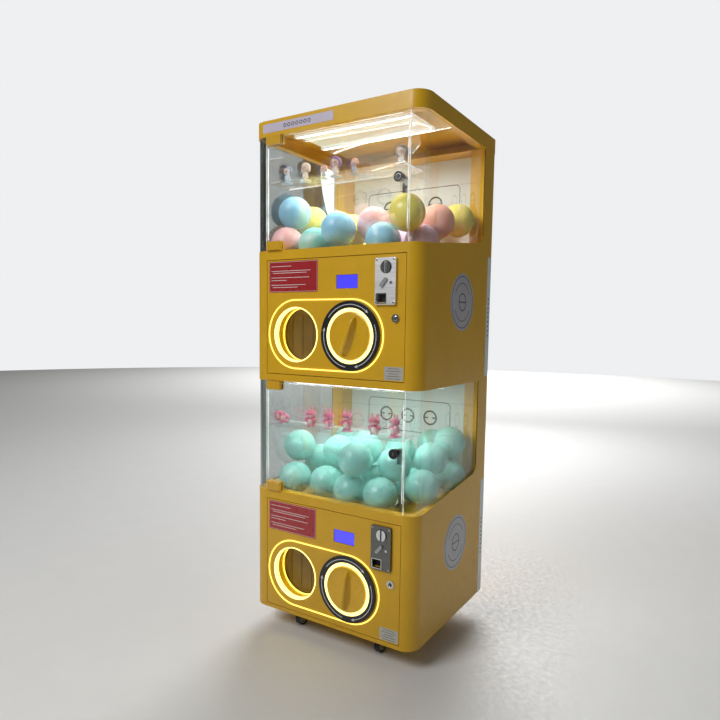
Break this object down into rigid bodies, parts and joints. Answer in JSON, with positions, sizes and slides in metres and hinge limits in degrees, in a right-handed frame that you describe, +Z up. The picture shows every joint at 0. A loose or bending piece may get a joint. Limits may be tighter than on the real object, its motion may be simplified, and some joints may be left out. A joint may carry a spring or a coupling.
{
  "type": "capsule vending machine",
  "caption": "Two-deck capsule vending cabinet on casters, with clear tanks, round knobs, coin units and take-out holes behind service doors.",
  "frame": {"origin": "on the floor, at the middle of the bottom of the cabinet's box", "axes": "+Z up, +X to the right seen from the front, +Y from the front face to the back"},
  "size_m": [0.592, 0.531, 1.587],
  "materials": {
    "yellow_paint": "semi-gloss golden yellow powder coat",
    "clear_acrylic": "clear polished sheet",
    "amber_plastic": "glossy amber",
    "chrome": "polished",
    "black_plastic": "satin black",
    "knob_plastic": "smooth golden yellow",
    "light_line": "glowing diffuser",
    "white_light": "glowing strip",
    "display_blue": "glowing display",
    "coin_steel": "fine brushed",
    "zinc_steel": "zinc plated",
    "caster_rubber": "dark grey tread",
    "white_panel": "satin white",
    "capsule_plastic": "glossy translucent pastel",
    "gear_plastic": "moulded ivory",
    "motor_metal": "cast",
    "grey_steel": "grey enamel"
  },
  "bodies": {
    "cabinet": {"base_plate": "yellow_paint", "left_column": "yellow_paint", "right_column": "yellow_paint", "back_panel": "yellow_paint", "top_cap": "yellow_paint", "caster_plates": "zinc_steel", "power_inlet": "black_plastic", "power_supply": "motor_metal", "display_backs": "white_panel", "ceiling_lights": "white_light", "gear_motors": "motor_metal", "tank_floors": "yellow_paint", "left_windows": "clear_acrylic", "right_windows": "clear_acrylic", "coin_boxes": "grey_steel", "dispenser_plates": "zinc_steel", "chutes": "yellow_paint", "capsules": "capsule_plastic", "lower_housing": "yellow_paint", "upper_housing": "yellow_paint"},
    "caster_fork_fl": {"caster_fork_fl": "zinc_steel"},
    "caster_wheel_fl": {"caster_wheel_fl": "caster_rubber"},
    "caster_fork_fr": {"caster_fork_fr": "zinc_steel"},
    "caster_wheel_fr": {"caster_wheel_fr": "caster_rubber"},
    "caster_fork_rl": {"caster_fork_rl": "zinc_steel"},
    "caster_wheel_rl": {"caster_wheel_rl": "caster_rubber"},
    "caster_fork_rr": {"caster_fork_rr": "zinc_steel"},
    "caster_wheel_rr": {"caster_wheel_rr": "caster_rubber"},
    "lower_display_door": {"lower_display_door": "clear_acrylic", "lower_shelf": "clear_acrylic", "lower_hinge_blocks": "amber_plastic"},
    "lower_display_lock": {"lower_display_lock": "black_plastic"},
    "lower_service_door": {"lower_service_door": "yellow_paint", "lower_prize_tube": "knob_plastic", "lower_knob_ring": "black_plastic", "lower_door_lights": "light_line", "lower_lcd": "display_blue", "lower_coin_unit": "coin_steel"},
    "lower_knob": {"lower_knob": "knob_plastic"},
    "lower_return_lever": {"lower_return_lever": "zinc_steel"},
    "lower_door_lock": {"lower_door_lock": "chrome"},
    "lower_prize_flap": {"lower_prize_flap": "amber_plastic"},
    "lower_capsule_wheel": {"lower_capsule_wheel": "gear_plastic"},
    "lower_pinion": {"lower_pinion": "gear_plastic"},
    "upper_display_door": {"upper_display_door": "clear_acrylic", "upper_shelf": "clear_acrylic", "upper_hinge_blocks": "amber_plastic"},
    "upper_display_lock": {"upper_display_lock": "chrome"},
    "upper_service_door": {"upper_service_door": "yellow_paint", "upper_prize_tube": "knob_plastic", "upper_knob_ring": "black_plastic", "upper_door_lights": "light_line", "upper_lcd": "display_blue", "upper_coin_unit": "coin_steel"},
    "upper_knob": {"upper_knob": "knob_plastic"},
    "upper_return_lever": {"upper_return_lever": "zinc_steel"},
    "upper_door_lock": {"upper_door_lock": "chrome"},
    "upper_prize_flap": {"upper_prize_flap": "amber_plastic"},
    "upper_capsule_wheel": {"upper_capsule_wheel": "gear_plastic"},
    "upper_pinion": {"upper_pinion": "gear_plastic"}
  },
  "joints": [
    {"name": "caster_swivel_fl", "type": "hinge", "parent": "cabinet", "child": "caster_fork_fl", "pos_m": [-0.15, -0.1875, 0.055], "axis": [0, 0, 1], "continuous": true},
    {"name": "caster_roll_fl", "type": "hinge", "parent": "caster_fork_fl", "child": "caster_wheel_fl", "pos_m": [-0.15, -0.1675, 0.025], "axis": [1, 0, 0], "continuous": true},
    {"name": "caster_swivel_fr", "type": "hinge", "parent": "cabinet", "child": "caster_fork_fr", "pos_m": [0.15, -0.1875, 0.055], "axis": [0, 0, 1], "continuous": true},
    {"name": "caster_roll_fr", "type": "hinge", "parent": "caster_fork_fr", "child": "caster_wheel_fr", "pos_m": [0.15, -0.1675, 0.025], "axis": [1, 0, 0], "continuous": true},
    {"name": "caster_swivel_rl", "type": "hinge", "parent": "cabinet", "child": "caster_fork_rl", "pos_m": [-0.15, 0.2135, 0.055], "axis": [0, 0, 1], "continuous": true},
    {"name": "caster_roll_rl", "type": "hinge", "parent": "caster_fork_rl", "child": "caster_wheel_rl", "pos_m": [-0.15, 0.2335, 0.025], "axis": [1, 0, 0], "continuous": true},
    {"name": "caster_swivel_rr", "type": "hinge", "parent": "cabinet", "child": "caster_fork_rr", "pos_m": [0.15, 0.2135, 0.055], "axis": [0, 0, 1], "continuous": true},
    {"name": "caster_roll_rr", "type": "hinge", "parent": "caster_fork_rr", "child": "caster_wheel_rr", "pos_m": [0.15, 0.2335, 0.025], "axis": [1, 0, 0], "continuous": true},
    {"name": "lower_display_door_hinge", "type": "hinge", "parent": "cabinet", "child": "lower_display_door", "pos_m": [-0.228, -0.2335, 0.625], "axis": [0, 0, -1], "range_deg": [0, 100]},
    {"name": "lower_display_lock_turn", "type": "hinge", "parent": "lower_display_door", "child": "lower_display_lock", "pos_m": [0.222, -0.2395, 0.625], "axis": [0, -1, 0], "range_deg": [0, 90]},
    {"name": "lower_service_door_hinge", "type": "hinge", "parent": "cabinet", "child": "lower_service_door", "pos_m": [-0.231, -0.2345, 0.255], "axis": [0, 0, -1], "range_deg": [0, 90]},
    {"name": "lower_knob_turn", "type": "hinge", "parent": "lower_service_door", "child": "lower_knob", "pos_m": [0.073, -0.2395, 0.201], "axis": [0, 1, 0], "continuous": true},
    {"name": "lower_return_lever_press", "type": "hinge", "parent": "lower_service_door", "child": "lower_return_lever", "pos_m": [0.192, -0.2395, 0.356], "axis": [0, 1, 0], "range_deg": [0, 25], "stiffness_Nm_per_rad": 0.05},
    {"name": "lower_door_lock_turn", "type": "hinge", "parent": "lower_service_door", "child": "lower_door_lock", "pos_m": [0.221, -0.2395, 0.252], "axis": [0, -1, 0], "range_deg": [0, 90]},
    {"name": "lower_prize_flap_swing", "type": "hinge", "parent": "cabinet", "child": "lower_prize_flap", "pos_m": [-0.125, -0.1845, 0.281], "axis": [1, 0, 0], "range_deg": [0, 65]},
    {"name": "lower_capsule_wheel_spin", "type": "hinge", "parent": "cabinet", "child": "lower_capsule_wheel", "pos_m": [-0.04, -0.03, 0.355], "axis": [0, 0, 1], "continuous": true},
    {"name": "lower_pinion_spin", "type": "hinge", "parent": "cabinet", "child": "lower_pinion", "pos_m": [0.13638, 0.0342, 0.305], "axis": [0, 0, 1], "continuous": true},
    {"name": "upper_display_door_hinge", "type": "hinge", "parent": "cabinet", "child": "upper_display_door", "pos_m": [-0.228, -0.2335, 1.37], "axis": [0, 0, -1], "range_deg": [0, 100]},
    {"name": "upper_display_lock_turn", "type": "hinge", "parent": "upper_display_door", "child": "upper_display_lock", "pos_m": [0.222, -0.2395, 1.37], "axis": [0, -1, 0], "range_deg": [0, 90]},
    {"name": "upper_service_door_hinge", "type": "hinge", "parent": "cabinet", "child": "upper_service_door", "pos_m": [-0.231, -0.2345, 1], "axis": [0, 0, -1], "range_deg": [0, 90]},
    {"name": "upper_knob_turn", "type": "hinge", "parent": "upper_service_door", "child": "upper_knob", "pos_m": [0.073, -0.2395, 0.946], "axis": [0, 1, 0], "continuous": true},
    {"name": "upper_return_lever_press", "type": "hinge", "parent": "upper_service_door", "child": "upper_return_lever", "pos_m": [0.192, -0.2395, 1.101], "axis": [0, 1, 0], "range_deg": [0, 25], "stiffness_Nm_per_rad": 0.05},
    {"name": "upper_door_lock_turn", "type": "hinge", "parent": "upper_service_door", "child": "upper_door_lock", "pos_m": [0.221, -0.2395, 0.997], "axis": [0, -1, 0], "range_deg": [0, 90]},
    {"name": "upper_prize_flap_swing", "type": "hinge", "parent": "cabinet", "child": "upper_prize_flap", "pos_m": [-0.125, -0.1845, 1.026], "axis": [1, 0, 0], "range_deg": [0, 65]},
    {"name": "upper_capsule_wheel_spin", "type": "hinge", "parent": "cabinet", "child": "upper_capsule_wheel", "pos_m": [-0.04, -0.03, 1.1], "axis": [0, 0, 1], "continuous": true},
    {"name": "upper_pinion_spin", "type": "hinge", "parent": "cabinet", "child": "upper_pinion", "pos_m": [0.13638, 0.0342, 1.05], "axis": [0, 0, 1], "continuous": true}
  ],
  "couplings": [
    {"joint": "lower_pinion_spin", "follows": "lower_capsule_wheel_spin", "ratio": -4},
    {"joint": "upper_pinion_spin", "follows": "upper_capsule_wheel_spin", "ratio": -4}
  ]
}
